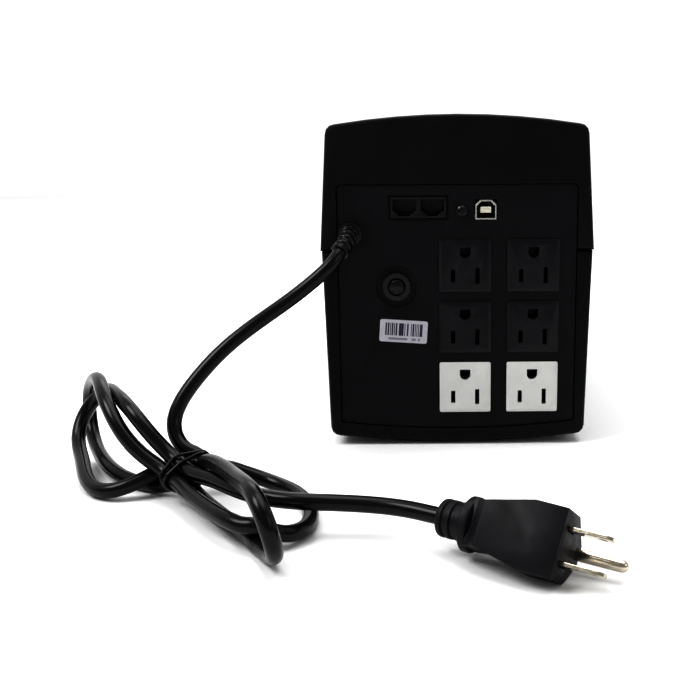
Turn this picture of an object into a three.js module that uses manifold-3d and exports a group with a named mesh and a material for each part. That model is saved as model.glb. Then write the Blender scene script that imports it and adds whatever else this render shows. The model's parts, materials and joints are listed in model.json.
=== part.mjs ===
// Tower uninterruptible power supply, seen with its socket side towards -Y.
// Millimetres, +Z up. Origin: on the surface it stands on, under the middle of the case.
// +X is to the right when one looks at the sockets.

import * as THREE from 'three';
import { mergeVertices } from 'three/addons/utils/BufferGeometryUtils.js';
import Module from 'manifold-3d';

const wasm = await Module();
wasm.setup();

// ---------------------------------------------------------------- driving dimensions

const GAP = 0.3;                 // clearance between neighbouring pieces

// case
const REAR = -168.5;             // rim of the case around the socket panel
const FRONT = 172.5;             // nose of the front bezel
const BEZEL_BACK = 146;          // joint between the shells and the bezel
const SPLIT = 103.4;             // joint between top cover and base
const TOP = 172;                 // crown of the cover
const BOTTOM = 1.5;              // lowest point of the base's crown
const COVER_HALF_LOW = 70.7;     // half widths
const COVER_HALF_HIGH = 66.9;
const BASE_HALF_HIGH = 70;
const BASE_HALF_LOW = 67.6;
const CROWN_TOP = 0.00127;       // drop of the crowns per square millimetre of x
const CROWN_BOTTOM = 0.00083;
const CORNER = 5;
const EDGE = 2.4;                // rounding where the walls turn into the rear rim
const WALL = 2.5;

// socket panel
const PANEL = -167.5;            // its outer face
const PANEL_THICK = 2.2;
const PANEL_HALF = 61.5;
const PANEL_TOP = 136.8;
const PANEL_LOW = 9.2;
const SOCKET_X = [3.9, 39.2];
const SOCKET_Z = [95.65, 63.5, 31.35];
const SOCKET_SIZE = 27;
const SOCKET_PROUD = 1.6;
const SOCKET_DEEP = 20;
const PIN_SPACING = 12.7;        // between the two flat blades of a plug
const GROUND_OFFSET = 11.9;      // from the blades' line to the round pin

// connectors above the sockets
const JACK = { x: -20.05, z: 125.45, w: 31.1, h: 13.3, deep: 18 };
const SCREW = { x: 2.2, z: 123.6, r: 3.1 };
const USB = { x: 14.5, z: 124.2, w: 10.8, h: 9.9, deep: 15 };

// circuit breaker
const BREAKER = { x: -31.6, z: 85 };
const BREAKER_RING = 10.7;
const BREAKER_NUT = 7.4;
const BREAKER_BUTTON = 3.9;
const BREAKER_TIP = -172.5;

// power cord, tied into a hank with a plug at its end
const CORD_D = 6.9;
const RELIEF_NECK = 4.6;         // radius of the relief's neck through the panel
const RELIEF = [[-55.2, -167, 112.2], [-55.3, -174, 111.6], [-56, -181, 109.5], [-59, -186.5, 104.5]];
const LEAD = [[-59.4, -187.1, 104], [-62, -190.5, 100], [-70, -194, 93], [-77, -196, 87], [-85, -200, 81],
  [-93, -204, 76], [-100, -208, 71], [-107, -212, 66], [-113, -215, 61], [-118, -218, 56],
  [-122, -221, 51], [-126, -224, 46], [-130, -227, 40.5], [-132.5, -230, 35], [-134, -232.5, 30],
  [-134, -234, 22.2]];
const TAIL = [[-60, -296, 15], [-49, -296, 14.4], [-40, -297, 14], [-31, -299, 14],
  [-22, -303, 13.8], [-15.4, -306.8, 13.6], [-11, -309.5, 13.5]];
const TIE = { x: -128.5, y: -245.2, turn: 32.7 };
const HANK_LOW = 0.3;
const PLUG = { x: 33, y: -340.3, z: 13.4, turn: -32, pitch: 2.1, roll: -32.8 };
const PLUG_MIDDLE = 3.4;         // from the blades' plane to the body's middle, towards the round pin
const BLADE_LONG = 16.4;
const GROUND_LONG = 20;

// ---------------------------------------------------------------- materials

function paint(color, roughness, metalness = 0) {
  return new THREE.MeshStandardMaterial({ color, roughness, metalness });
}

const caseBlack = paint(0x0d0d0f, 0.55);
const socketBlack = paint(0x18181b, 0.5);
const socketWhite = paint(0xd8d8d4, 0.4);
const gloss = paint(0x0a0a0b, 0.2);
const cordBlack = paint(0x0c0c0d, 0.3);
const nickel = paint(0xc8c4b8, 0.25, 1);
const brass = paint(0xb59a56, 0.35, 1);
const steel = paint(0x9a9c9e, 0.4, 1);
const ivory = paint(0xe6e2d6, 0.5);
const labelGrey = paint(0xc9c8d2, 0.6);
const rubber = paint(0x141414, 0.9);
const board = paint(0x1f6b3a, 0.5);
const copper = paint(0xa8623a, 0.35, 1);
const batteryGrey = paint(0x2c2f33, 0.6);
const lensSmoke = paint(0x24282c, 0.15);
const relayBlue = paint(0x1c4f9c, 0.4);
const aluminium = paint(0xb8babd, 0.4, 1);

// ---------------------------------------------------------------- solids

const root = new THREE.Group();

/** A closed geometry as a manifold solid. */
function solid(geometry) {
  const bare = geometry.index ? geometry.toNonIndexed() : geometry.clone();
  for (const name of Object.keys(bare.attributes)) {
    if (name !== 'position') bare.deleteAttribute(name);
  }
  const merged = mergeVertices(bare, 1e-4);
  return new wasm.Manifold(new wasm.Mesh({
    numProp: 3,
    vertProperties: merged.attributes.position.array,
    triVerts: Uint32Array.from(merged.index.array),
  }));
}

/** A manifold solid, or a geometry, as a named piece of the object. */
function piece(name, shape, material, parent = root) {
  let geometry = shape;
  if (!shape.isBufferGeometry) {
    const mesh = shape.getMesh();
    geometry = new THREE.BufferGeometry();
    geometry.setAttribute('position', new THREE.BufferAttribute(mesh.vertProperties, 3));
    geometry.setIndex(new THREE.BufferAttribute(mesh.triVerts, 1));
    geometry.computeVertexNormals();
  }
  const node = new THREE.Mesh(geometry, material);
  node.name = name;
  parent.add(node);
  return node;
}

/** A box from its lowest and highest corners. */
function block(x0, y0, z0, x1, y1, z1) {
  const geometry = new THREE.BoxGeometry(x1 - x0, y1 - y0, z1 - z0);
  return geometry.translate((x0 + x1) / 2, (y0 + y1) / 2, (z0 + z1) / 2);
}

/** A shape drawn as seen from behind (x, z), made solid from y0 to y1. */
function alongY(shape, y0, y1, edge = 0, curveSegments = 5) {
  const geometry = new THREE.ExtrudeGeometry(shape, {
    depth: y1 - y0 - 2 * edge,
    steps: 1,
    curveSegments,
    bevelEnabled: edge > 0,
    bevelThickness: edge,
    bevelSize: edge,
    bevelOffset: -edge,
    bevelSegments: edge > 1 ? 2 : 1,
  });
  return geometry.rotateX(Math.PI / 2).translate(0, y1 - edge, 0);
}

/** A round bar or bore along Y. */
function barY(x, z, r, y0, y1, sides = 24) {
  const geometry = new THREE.CylinderGeometry(r, r, y1 - y0, sides);
  return geometry.translate(x, (y0 + y1) / 2, z);
}

/** A round bar along Z. */
function barZ(x, y, r, z0, z1, sides = 24) {
  const geometry = new THREE.CylinderGeometry(r, r, z1 - z0, sides);
  return geometry.rotateX(Math.PI / 2).translate(x, y, (z0 + z1) / 2);
}

/** A shape drawn in plan (x, y), made solid from z0 to z1. */
function alongZ(shape, z0, z1, curveSegments = 5) {
  const geometry = new THREE.ExtrudeGeometry(shape, {
    depth: z1 - z0, steps: 1, curveSegments, bevelEnabled: false,
  });
  return geometry.translate(0, 0, z0);
}

/** A ten-sided bar bent along a list of points. */
function alongPath(points, r, steps) {
  const circle = new THREE.Shape();
  circle.absarc(0, 0, r, 0, 2 * Math.PI);
  const path = new THREE.CatmullRomCurve3(points.map((p) => new THREE.Vector3(...p)));
  return new THREE.ExtrudeGeometry(circle, { steps, curveSegments: 5, extrudePath: path });
}

/** A polygon drawn in plan or elevation. */
function polygon(points) {
  return new THREE.Shape(points.map(([a, b]) => new THREE.Vector2(a, b)));
}

/** A rectangle with round corners about (x, z). */
function roundRect(x, z, w, h, r) {
  const shape = new THREE.Shape();
  const x0 = x - w / 2, x1 = x + w / 2, z0 = z - h / 2, z1 = z + h / 2;
  shape.moveTo(x0 + r, z0);
  shape.lineTo(x1 - r, z0);
  shape.absarc(x1 - r, z0 + r, r, -Math.PI / 2, 0);
  shape.lineTo(x1, z1 - r);
  shape.absarc(x1 - r, z1 - r, r, 0, Math.PI / 2);
  shape.lineTo(x0 + r, z1);
  shape.absarc(x0 + r, z1 - r, r, Math.PI / 2, Math.PI);
  shape.lineTo(x0, z0 + r);
  shape.absarc(x0 + r, z0 + r, r, Math.PI, 1.5 * Math.PI);
  return shape;
}

// ---------------------------------------------------------------- case outlines

const topAt = (x, inset) => TOP - inset - CROWN_TOP * x * x;
const bottomAt = (x, inset) => BOTTOM + inset + CROWN_BOTTOM * x * x;
const CROWN_STEPS = 8;

/** Points of a crown between -half and half, left to right. */
function crown(height, inset, half) {
  const points = [];
  for (let i = 0; i <= CROWN_STEPS; i += 1) {
    const x = half * (2 * i / CROWN_STEPS - 1);
    points.push(new THREE.Vector2(x, height(x, inset)));
  }
  return points;
}

/** Half of a shell's outline: a side wall, a round corner and a crown, closed along the joint. */
function shellOutline(joint, halfAtJoint, halfAtCorner, height, inset) {
  const r = Math.max(CORNER - inset, 1.5);
  const up = Math.sign(height(0, 0) - joint);
  const low = halfAtJoint - inset, far = halfAtCorner - inset;
  const points = [new THREE.Vector2(low, joint)];
  const cornerZ = height(far - r, inset);
  const steps = 3;
  for (let i = 0; i <= steps; i += 1) {
    const a = (i / steps) * Math.PI / 2;
    points.push(new THREE.Vector2(far - r + r * Math.cos(a), cornerZ - up * r * (1 - Math.sin(a))));
  }
  points.push(...crown(height, inset, far - r).reverse().slice(1, -1));
  for (let i = steps; i >= 0; i -= 1) {
    const a = (i / steps) * Math.PI / 2;
    points.push(new THREE.Vector2(r - far - r * Math.cos(a), cornerZ - up * r * (1 - Math.sin(a))));
  }
  points.push(new THREE.Vector2(-low, joint));
  if (up < 0) points.reverse();
  return new THREE.Shape(points);
}

const coverOutline = (inset, joint = SPLIT) =>
  shellOutline(joint, COVER_HALF_LOW, COVER_HALF_HIGH, topAt, inset);
const baseOutline = (inset, joint = SPLIT - GAP) =>
  shellOutline(joint, BASE_HALF_HIGH, BASE_HALF_LOW, bottomAt, inset);

/** Outline of the socket panel, or of the opening around it when grown. */
function panelOutline(grow) {
  const half = PANEL_HALF + grow;
  const points = [];
  for (let i = 0; i <= CROWN_STEPS; i += 1) {
    const x = half * (2 * i / CROWN_STEPS - 1);
    points.push(new THREE.Vector2(x, PANEL_LOW - grow + 0.001 * x * x));
  }
  points.push(new THREE.Vector2(half, PANEL_TOP + grow - 1.5));
  points.push(new THREE.Vector2(half - 1.5, PANEL_TOP + grow));
  points.push(new THREE.Vector2(1.5 - half, PANEL_TOP + grow));
  points.push(new THREE.Vector2(-half, PANEL_TOP + grow - 1.5));
  return new THREE.Shape(points);
}

const FAR = 400;                 // long enough to cut right through

/** A hollow shell open at the joint and at the front, with the rear opening cut. */
function shell(outline) {
  const outer = solid(alongY(outline(0), REAR, BEZEL_BACK + 20, EDGE));
  const inner = solid(alongY(outline(WALL), REAR + WALL, BEZEL_BACK + 40));
  const opening = solid(alongY(panelOutline(0.4), REAR - 5, REAR + WALL + 5));
  const front = solid(block(-FAR, BEZEL_BACK, -FAR, FAR, FAR, FAR));
  return outer.subtract(inner).subtract(opening).subtract(front);
}

// ---------------------------------------------------------------- case

const FOOT = { x: 42, y: 118, r: 9, high: 4.4 };
const CASE_SCREW = { x: 56, y: 135, head: 3.4, shank: 1.75 };
const CORNERS = [[-1, -1], [1, -1], [-1, 1], [1, 1]];

function makeCover() {
  const bosses = CORNERS.map(([sx, sy]) => {
    const x = sx * CASE_SCREW.x, y = sy * CASE_SCREW.y;
    const post = solid(barZ(x, y, 4, SPLIT + 0.2, topAt(x, 1), 16));
    return post.subtract(solid(barZ(x, y, CASE_SCREW.shank + GAP, SPLIT - 1, SPLIT + 14, 12)));
  });
  let cover = shell(coverOutline);
  for (const boss of bosses) cover = cover.add(boss);
  for (const [sx, sy] of CORNERS) {
    const hanger = barZ(sx * 42, sy * 100, 3, BOARD.z + BOARD.thick + GAP, topAt(42, 1), 10);
    cover = cover.add(solid(hanger));
  }
  piece('top_cover', cover, caseBlack);
}

function makeBase() {
  let base = shell(baseOutline);
  for (const [sx, sy] of CORNERS) {
    const x = sx * CASE_SCREW.x, y = sy * CASE_SCREW.y;
    const floor = bottomAt(x, 0);
    base = base.add(solid(barZ(x, y, 5, floor + 1, SPLIT - 20, 16)));
    base = base.subtract(solid(barZ(x, y, CASE_SCREW.shank + GAP, floor - 5, SPLIT, 12)));
    base = base.subtract(solid(barZ(x, y, CASE_SCREW.head + GAP, floor - 5, floor + 1.6, 20)));
    const fx = sx * FOOT.x, fy = sy * FOOT.y;
    base = base.subtract(solid(barZ(fx, fy, FOOT.r + GAP, -5, FOOT.high + GAP, 24)));
  }
  piece('base_shell', base, caseBlack);
}

function makeFeet() {
  CORNERS.forEach(([sx, sy], i) => {
    const foot = new THREE.LatheGeometry([
      new THREE.Vector2(0, 0),
      new THREE.Vector2(FOOT.r - 1.2, 0),
      new THREE.Vector2(FOOT.r - 0.2, 0.8),
      new THREE.Vector2(FOOT.r, FOOT.high),
      new THREE.Vector2(0, FOOT.high),
    ], 24);
    const geometry = foot.rotateX(Math.PI / 2).translate(sx * FOOT.x, sy * FOOT.y, 0);
    piece(`foot_${i + 1}`, solid(geometry), rubber);
  });
}

function makeCaseScrews() {
  CORNERS.forEach(([sx, sy], i) => {
    const x = sx * CASE_SCREW.x, y = sy * CASE_SCREW.y;
    const seat = bottomAt(x, 0) + 1.6 - GAP;
    const head = solid(barZ(x, y, CASE_SCREW.head, seat - 1.8, seat, 20));
    const shank = solid(barZ(x, y, CASE_SCREW.shank, seat - 0.5, SPLIT + 10, 12));
    const slots = [block(x - 2.2, y - 0.45, seat - 3, x + 2.2, y + 0.45, seat - 1),
      block(x - 0.45, y - 2.2, seat - 3, x + 0.45, y + 2.2, seat - 1)];
    let screw = head.add(shank);
    for (const slot of slots) screw = screw.subtract(solid(slot));
    piece(`case_screw_${i + 1}`, screw, steel);
  });
}

/** The front fascia: a shallow dish with a bowed nose. */
function makeBezel() {
  const outline = new THREE.Shape();
  const low = bottomAt(0, 0.6), high = topAt(0, 0.6);
  const half = (z) => THREE.MathUtils.lerp(BASE_HALF_LOW, COVER_HALF_LOW,
    Math.min(1, z / SPLIT)) - Math.max(0, z - SPLIT) * 0.055 - 0.3;
  outline.moveTo(-half(12), low + 12);
  outline.quadraticCurveTo(-half(6) + 0.5, low + 3.6, -half(6) + 8, low + 3);
  outline.quadraticCurveTo(0, low - 2.4, half(6) - 8, low + 3);
  outline.quadraticCurveTo(half(6) - 0.5, low + 3.6, half(12), low + 12);
  outline.lineTo(half(SPLIT), SPLIT);
  outline.lineTo(half(160), 158);
  outline.quadraticCurveTo(half(165) - 0.2, high - 5.2, half(165) - 7, high - 4.8);
  outline.quadraticCurveTo(0, high + 3.6, 7 - half(165), high - 4.8);
  outline.quadraticCurveTo(0.2 - half(165), high - 5.2, -half(160), 158);
  outline.lineTo(-half(SPLIT), SPLIT);
  const back = BEZEL_BACK + GAP;
  const body = solid(alongY(outline, back, FRONT + 8, 5, 6));
  const nose = solid(new THREE.CylinderGeometry(330, 330, 400, 64)
    .rotateZ(Math.PI / 2).translate(0, FRONT - 330, 92));
  const trimmed = solid(block(-FAR, back - 1, -FAR, FAR, FRONT - 12, FAR)).add(nose);
  const hollow = solid(block(-62, back - 1, 12, 62, FRONT - 14, 158));
  let bezel = body.intersect(trimmed).subtract(hollow);
  for (const opening of frontOpenings(GAP)) bezel = bezel.subtract(solid(opening));
  piece('front_bezel', bezel, caseBlack);
}

const POWER = { x: 0, z: 118, r: 9 };
const LENS = { x: 0, z: 141, w: 44, h: 11 };
const LEDS = [-14, 0, 14];

/** What the bezel's openings hold, grown by the clearance around it. */
function frontOpenings(grow) {
  const lens = alongY(roundRect(LENS.x, LENS.z, LENS.w + 2 * grow, LENS.h + 2 * grow, 3),
    FRONT - 20, FRONT + 10, 0, 3);
  const power = barY(POWER.x, POWER.z, POWER.r + grow, FRONT - 40, FRONT + 10, 24);
  return [lens, power];
}

function makeFrontControls() {
  const lens = alongY(roundRect(LENS.x, LENS.z, LENS.w, LENS.h, 2.7), FRONT - 8, FRONT - 4.2, 0.6, 3);
  piece('indicator_lens', solid(lens), lensSmoke);
  LEDS.forEach((x, i) => {
    const led = barY(x, LENS.z, 2.2, FRONT - 20, FRONT - 8 - GAP, 16);
    piece(`indicator_led_${i + 1}`, solid(led), ivory);
  });
  const cap = new THREE.LatheGeometry([
    new THREE.Vector2(0, 0),
    new THREE.Vector2(POWER.r - 0.9, 0),
    new THREE.Vector2(POWER.r - 0.9, 6),
    new THREE.Vector2(POWER.r - 0.2, 6.4),
    new THREE.Vector2(POWER.r - 0.2, 17),
    new THREE.Vector2(POWER.r - 1.4, 18.2),
    new THREE.Vector2(0, 17.4),
  ], 24).translate(POWER.x, FRONT - 19, POWER.z);
  piece('power_button', solid(cap), gloss);
  const holder = solid(block(-26, FRONT - 30, POWER.z - 13, 26, FRONT - 28, LENS.z + 8));
  piece('front_board', holder, board);
}

// ---------------------------------------------------------------- socket panel

/** Everything that passes through the panel, grown by the clearance around it. */
function panelHoles() {
  const from = PANEL - 5, to = PANEL + PANEL_THICK + 5, g = GAP;
  const holes = [];
  for (const z of SOCKET_Z) {
    for (const x of SOCKET_X) {
      const half = SOCKET_SIZE / 2 - 1.4 + g;
      holes.push(block(x - half, from, z - half, x + half, to, z + half));
    }
  }
  const jw = JACK.w / 2 - 0.9, jh = JACK.h / 2 - 0.9;
  holes.push(block(JACK.x - jw, from, JACK.z - jh, JACK.x + jw, to, JACK.z + jh));
  holes.push(block(USB.x - USB.w / 2 - g, from, USB.z - USB.h / 2 - g,
    USB.x + USB.w / 2 + g, to, USB.z + USB.h / 2 + g));
  holes.push(barY(SCREW.x, SCREW.z, 1.5 + g, from, to, 16));
  holes.push(barY(BREAKER.x, BREAKER.z, 5.5 + g, from, to, 24));
  holes.push(barY(BREAKER.x, BREAKER.z, BREAKER_RING, from, PANEL + 0.9, 32));
  holes.push(barY(RELIEF[0][0], RELIEF[0][2], RELIEF_NECK + g, from, to, 16));
  return holes;
}

function makePanel() {
  let panel = solid(alongY(panelOutline(0), PANEL, PANEL + PANEL_THICK));
  const frame = roundRect(JACK.x, JACK.z, JACK.w, JACK.h, 0.8);
  panel = panel.subtract(solid(alongY(frame, PANEL - 2, PANEL + 0.8)));
  for (const hole of panelHoles()) panel = panel.subtract(solid(hole));
  const rib = (x0, x1, z0, z1) => solid(block(x0, PANEL + 1, z0, x1, PANEL + 8, z1));
  panel = panel.add(rib(-58, 58, 112.6, 114.2).subtract(solid(
    barY(RELIEF[0][0], RELIEF[0][2], 9, PANEL, PANEL + 20, 16))));
  piece('rear_panel', panel, caseBlack);
}

/** A grounded three-pin socket, drawn about its own centre with its face at y = 0. */
function makeSocket(name, x, z, material) {
  const half = SOCKET_SIZE / 2;
  const face = solid(alongY(roundRect(0, 0, SOCKET_SIZE, SOCKET_SIZE, 1), 0, SOCKET_PROUD - GAP, 0.6, 3));
  const bodyHalf = half - 1.4;
  const body = solid(block(-bodyHalf, 0.7, -bodyHalf, bodyHalf, SOCKET_DEEP, bodyHalf));
  let socket = face.add(body);
  const bladeZ = -5.2, deep = 14;
  const slot = (cx, w, h) => solid(block(cx - w / 2, -1, bladeZ - h / 2, cx + w / 2, deep, bladeZ + h / 2));
  socket = socket.subtract(slot(-PIN_SPACING / 2, 2.2, 6.6)).subtract(slot(PIN_SPACING / 2, 2.2, 8.2));
  const ground = new THREE.Shape();
  const gz = bladeZ + GROUND_OFFSET, r = 2.75;
  ground.absarc(0, gz, r, Math.PI, 2 * Math.PI);
  ground.lineTo(r, gz + 2.8);
  ground.lineTo(-r, gz + 2.8);
  socket = socket.subtract(solid(alongY(ground, -1, deep)));
  const node = piece(name, socket, material);
  node.position.set(x, PANEL - SOCKET_PROUD, z);
}

function makeSockets() {
  let black = 0, white = 0;
  SOCKET_Z.forEach((z, row) => {
    for (const x of SOCKET_X) {
      if (row < 2) makeSocket(`socket_black_${black += 1}`, x, z, socketBlack);
      else makeSocket(`socket_white_${white += 1}`, x, z, socketWhite);
    }
  });
}

/** The double telephone and network jack. */
function makeJack() {
  const { x, z, w, h, deep } = JACK;
  const front = PANEL - 0.1;
  const bw = w / 2 - 1.3, bh = h / 2 - 1.3;
  let jack = solid(block(x - bw, front, z - bh, x + bw, front + deep, z + bh));
  for (const side of [-1, 1]) {
    const cx = x + side * 7.2;
    const cut = (half, low, high, to) => {
      jack = jack.subtract(solid(block(cx - half, front - 1, z + low, cx + half, front + to, z + high)));
    };
    cut(5.9, -1.9, 4.1, 13);
    cut(4.4, -3.1, -1.8, 13);
    cut(2.9, -4.3, -3, 11);
  }
  piece('network_jack', jack, socketBlack);
}

function makeUsb() {
  const { x, z, w, h, deep } = USB;
  const front = PANEL - 0.5;
  const shape = new THREE.Shape();
  const outline = (inset) => {
    const a = w / 2 - inset, b = h / 2 - inset, cut = 2.4;
    return [[-a, -b], [a, -b], [a, b - cut], [a - cut, b], [cut - a, b], [-a, b - cut]]
      .map(([px, pz]) => new THREE.Vector2(x + px, z + pz));
  };
  shape.setFromPoints(outline(0));
  let housing = solid(alongY(shape, front, front + deep));
  housing = housing.subtract(solid(alongY(new THREE.Shape(outline(0.7)), front - 1, front + deep - 1.5)));
  piece('usb_shell', housing, nickel);
  const tongue = block(x - 2.8, front + 1, z - 1.6, x + 2.8, front + deep - 1.5 - GAP, z + 1.6);
  piece('usb_tongue', solid(tongue), ivory);
}

/** A pan-head screw with a cross recess, through the panel into the board's bracket. */
function makePanelScrew() {
  const { x, z, r } = SCREW;
  const seat = PANEL - GAP;
  const head = new THREE.LatheGeometry([
    new THREE.Vector2(0, 0),
    new THREE.Vector2(r * 0.62, 0.25),
    new THREE.Vector2(r * 0.92, 0.95),
    new THREE.Vector2(r, 1.7),
    new THREE.Vector2(r, 2.2),
    new THREE.Vector2(1.5, 2.2),
    new THREE.Vector2(1.5, 10),
    new THREE.Vector2(0, 10),
  ], 16).translate(x, seat - 2.2, z);
  let screw = solid(head);
  for (const [a, b] of [[1.8, 0.4], [0.4, 1.8]]) {
    screw = screw.subtract(solid(block(x - a, seat - 3, z - b, x + a, seat - 1.1, z + b)));
  }
  piece('panel_screw', screw, gloss);
}

/** The resettable circuit breaker: body inside, round nut outside, button through the nut. */
function makeBreaker() {
  const { x, z } = BREAKER;
  const inside = PANEL + PANEL_THICK + GAP;
  const floor = PANEL + 0.9;
  const bore = BREAKER_BUTTON + GAP;
  const neck = solid(barY(x, z, 5.5, floor - 0.2, inside + 1, 24));
  const can = solid(block(x - 8, inside, z - 14, x + 8, inside + 26, z + 14));
  const hole = solid(barY(x, z, bore, floor - 4, inside + 12, 24));
  piece('breaker_body', can.add(neck).subtract(hole), socketBlack);

  const nutTop = floor - GAP - 3.2;
  const teeth = 18;
  const ring = new THREE.Shape();
  for (let i = 0; i < 2 * teeth; i += 1) {
    const a = i * Math.PI / teeth, r = BREAKER_NUT - (i % 2) * 0.45;
    const px = x + r * Math.cos(a), pz = z + r * Math.sin(a);
    if (i === 0) ring.moveTo(px, pz);
    else ring.lineTo(px, pz);
  }
  const nut = solid(alongY(ring, nutTop, floor - GAP));
  piece('breaker_nut', nut.subtract(solid(barY(x, z, bore + 0.5, nutTop - 1, floor + 1, 24))), gloss);

  const button = new THREE.LatheGeometry([
    new THREE.Vector2(0, 0),
    new THREE.Vector2(BREAKER_BUTTON - 1.1, 0),
    new THREE.Vector2(BREAKER_BUTTON - 0.3, 0.35),
    new THREE.Vector2(BREAKER_BUTTON, 1.1),
    new THREE.Vector2(BREAKER_BUTTON, 15),
    new THREE.Vector2(0, 15),
  ], 24).translate(x, BREAKER_TIP, z);
  piece('breaker_button', solid(button), gloss);
}

function makeLabel() {
  const label = alongY(roundRect(0, 0, 25, 11.9, 1.2), -0.15, 0.1, 0, 4);
  const node = piece('serial_label', solid(label), labelGrey);
  node.position.set(-28.3, PANEL - GAP, 61.4);
  node.rotation.y = THREE.MathUtils.degToRad(3.9);
}

// ---------------------------------------------------------------- inside

const BATTERY = { long: 151, wide: 94, high: 65, y: -12, z: 6.2 };
const BOARD = { half: 50, y0: -130, y1: 130, z: 145.8, thick: 1.6 };

/** Two sealed batteries on their sides, one on the other, with their tabs towards +X. */
function makeBatteries() {
  const { long, wide, high, y, z } = BATTERY;
  ['lower', 'upper'].forEach((level, i) => {
    const floor = z + i * (high + 2 * GAP);
    piece(`battery_${level}`, block(-wide / 2, y, floor, wide / 2, y + long, floor + high), batteryGrey);
    for (const [sign, ty] of [['plus', y + 10], ['minus', y + long - 21]]) {
      const x = wide / 2 + GAP;
      const tab = solid(block(x, ty - 3.15, floor + 8, x + 6.4, ty + 3.15, floor + 8.8));
      const eye = solid(barZ(x + 3.6, ty, 1.5, floor, floor + 20, 10));
      piece(`terminal_${level}_${sign}`, tab.subtract(eye), brass);
    }
  });
}

/** A laminated core with its winding round the middle leg. */
function makeTransformer() {
  const y = -85, low = 6.4, middle = low + 40;
  const core = solid(block(-48, y - 22.5, low, 48, y + 22.5, low + 80));
  const window = (x) => solid(block(x, y - 30, middle - 24, x + 16, y + 30, middle + 24));
  piece('transformer_core', core.subtract(window(-32)).subtract(window(16)), steel);
  const outside = alongZ(roundRect(0, y, 62.8, 73, 6), middle - 23.7, middle + 23.7, 3);
  const leg = block(-16.3, y - 22.8, low, 16.3, y + 22.8, low + 90);
  piece('transformer_winding', solid(outside).subtract(solid(leg)), copper);
}

/** The main board under the cover, with its larger components standing on it. */
function makeBoards() {
  const { half, y0, y1, z, thick } = BOARD;
  piece('main_board', block(-half, y0, z, half, y1, z + thick), board);
  const top = z + thick + GAP;
  const fins = 8, pitch = 9.6, left = -fins * pitch / 2;
  const comb = [[left, 0]];
  for (let i = 0; i < fins; i += 1) {
    const x = left + i * pitch;
    comb.push([x, 15], [x + 2.2, 15], [x + 2.2, 3], [x + pitch, 3]);
  }
  const right = left + fins * pitch;
  comb.push([right, 15], [right + 2.2, 15], [right + 2.2, 0]);
  piece('heat_sink', alongY(polygon(comb.reverse()), -60, -24).translate(0, 0, top), aluminium);
  for (const [i, x] of [-30, -6].entries()) {
    piece(`relay_${i + 1}`, block(x - 9.5, 14, top, x + 9.5, 30, top + 16), relayBlue);
  }
  piece('main_capacitor', barZ(24, 22, 9, top, top + 17, 20), cordBlack);
  piece('buzzer', solid(barZ(20, 70, 6, top, top + 9, 16)).subtract(
    solid(barZ(20, 70, 1.2, top + 6, top + 20, 8))), socketBlack);
  const comms = JACK.z - JACK.h / 2 - 1.6;
  piece('comm_board', block(-38, PANEL + PANEL_THICK + 6, comms - thick, 24, -132, comms), board);
}

// ---------------------------------------------------------------- power cord

/** The ribbed sleeve where the cord leaves the panel. */
function makeStrainRelief() {
  const path = new THREE.CatmullRomCurve3(RELIEF.map((p) => new THREE.Vector3(...p)));
  const slice = (from, to, r) => {
    const points = [from, (from + to) / 2, to].map((t) => path.getPointAt(t).toArray());
    return solid(alongPath(points, r, 2));
  };
  let sleeve = solid(alongPath(RELIEF, 3.9, 8));
  const ribs = 5;
  for (let i = 0; i < ribs; i += 1) {
    const start = 0.14 + i * 0.155;
    sleeve = sleeve.add(slice(start, start + 0.09, 4.9 - 0.1 * i));
  }
  sleeve = sleeve.add(slice(0.93, 1, 4.7));
  const [x, , z] = RELIEF[0];
  sleeve = sleeve.add(solid(barY(x, z, 6.2, PANEL - GAP - 1.6, PANEL - GAP, 16)));
  sleeve = sleeve.add(solid(barY(x, z, RELIEF_NECK, PANEL - 1, PANEL + PANEL_THICK + 3, 16)));
  piece('strain_relief', sleeve, cordBlack);
}

/** Two plain lengths of the cord, and the outside of the hank between them. */
function makeCord() {
  const r = CORD_D / 2;
  piece('cord_lead', solid(alongPath(LEAD, r, 20)), cordBlack);
  piece('cord_tail', solid(alongPath(TAIL, r, 6)), cordBlack);

  // in the waist's own frame Y runs along the bundle, away from the plug
  const turned = (geometry) => solid(geometry
    .rotateZ(THREE.MathUtils.degToRad(TIE.turn)).translate(TIE.x, TIE.y, 0));
  const waist = { w: 24, h: 19.4, z: 2.2 + 19.4 / 2, y0: -15, y1: 25 };
  piece('hank_waist', turned(alongY(roundRect(0, waist.z, waist.w, waist.h, 8), waist.y0, waist.y1)),
    cordBlack);
  const ring = (grow, half) => turned(alongY(
    roundRect(0, waist.z, waist.w + 2 * grow, waist.h + 2 * grow, 8 + grow), -half, half));
  piece('twist_tie', ring(GAP + 1.6, 3).subtract(ring(GAP, 5)), gloss);

  const side = [[-141, HANK_LOW], [-170, HANK_LOW], [-184, 4], [-191, 14], [-193, 24], [-192, 36],
    [-186, 45], [-176, 48], [-164, 46], [-152, 38], [-141, 27]];
  const left = solid(alongY(polygon(side.reverse()), -262, -175));
  const beside = turned(block(-15, -80, -1, 40, waist.y1 + GAP, 60));
  piece('hank_left', left.subtract(beside), cordBlack);

  const plan = [[-112, -224], [-95, -228], [-82, -234], [-71, -248], [-62, -268], [-60.8, -285],
    [-62, -300], [-65, -325], [-66, -350], [-72, -356], [-80, -342], [-92, -317], [-117, -286],
    [-128, -268], [-140, -250], [-140, -230]];
  const right = solid(alongZ(polygon(plan.reverse()), HANK_LOW, 29));
  const behind = turned(block(-80, waist.y0 - GAP, -1, 80, 90, 60));
  piece('hank_right', right.subtract(behind), cordBlack);
}

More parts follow.
